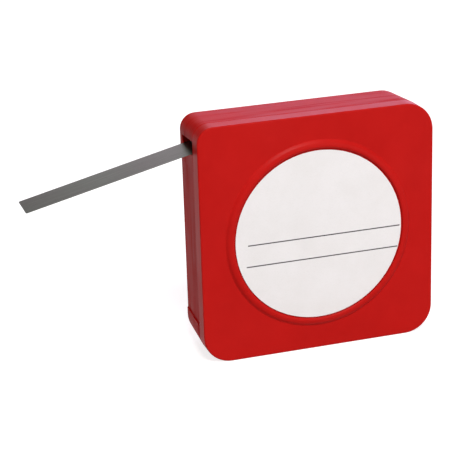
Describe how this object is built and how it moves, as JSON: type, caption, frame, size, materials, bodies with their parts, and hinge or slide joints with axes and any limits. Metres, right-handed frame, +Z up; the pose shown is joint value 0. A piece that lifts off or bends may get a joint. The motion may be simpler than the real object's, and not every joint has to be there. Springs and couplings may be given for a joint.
{
  "type": "feeler tape dispenser",
  "caption": "Thin steel shim tape wound in a square moulded case with rounded corners, its free end drawn out through a slot in the left wall.",
  "frame": {"origin": "where the coil's axis meets the case's flat back", "axes": "+Z up as the case stands, +Y out of the back along the coil's axis, +X to the right seen from the front; the tape leaves towards -X"},
  "size_m": [0.1423, 0.026, 0.085],
  "materials": {
    "case_plastic": "satin moulded",
    "label_paper": "coated",
    "tape_steel": "cold rolled, hardened"
  },
  "bodies": {
    "case": {"case_base": "case_plastic", "case_lid": "case_plastic", "label": "label_paper"},
    "coil": {"tape_coil": "tape_steel"},
    "tape": {"tape_lead": "tape_steel"}
  },
  "joints": [
    {"name": "coil_turn", "type": "hinge", "parent": "case", "child": "coil", "pos_m": [0, 0, 0], "axis": [0, 1, 0], "range_deg": [-35, 0]},
    {"name": "tape_draw", "type": "slide", "parent": "case", "child": "tape", "axis": [-0.974, 0, -0.2267], "range_m": [0, 0.025]}
  ],
  "couplings": [
    {"joint": "tape_draw", "follows": "coil_turn", "m_per_rad": -0.040845}
  ]
}
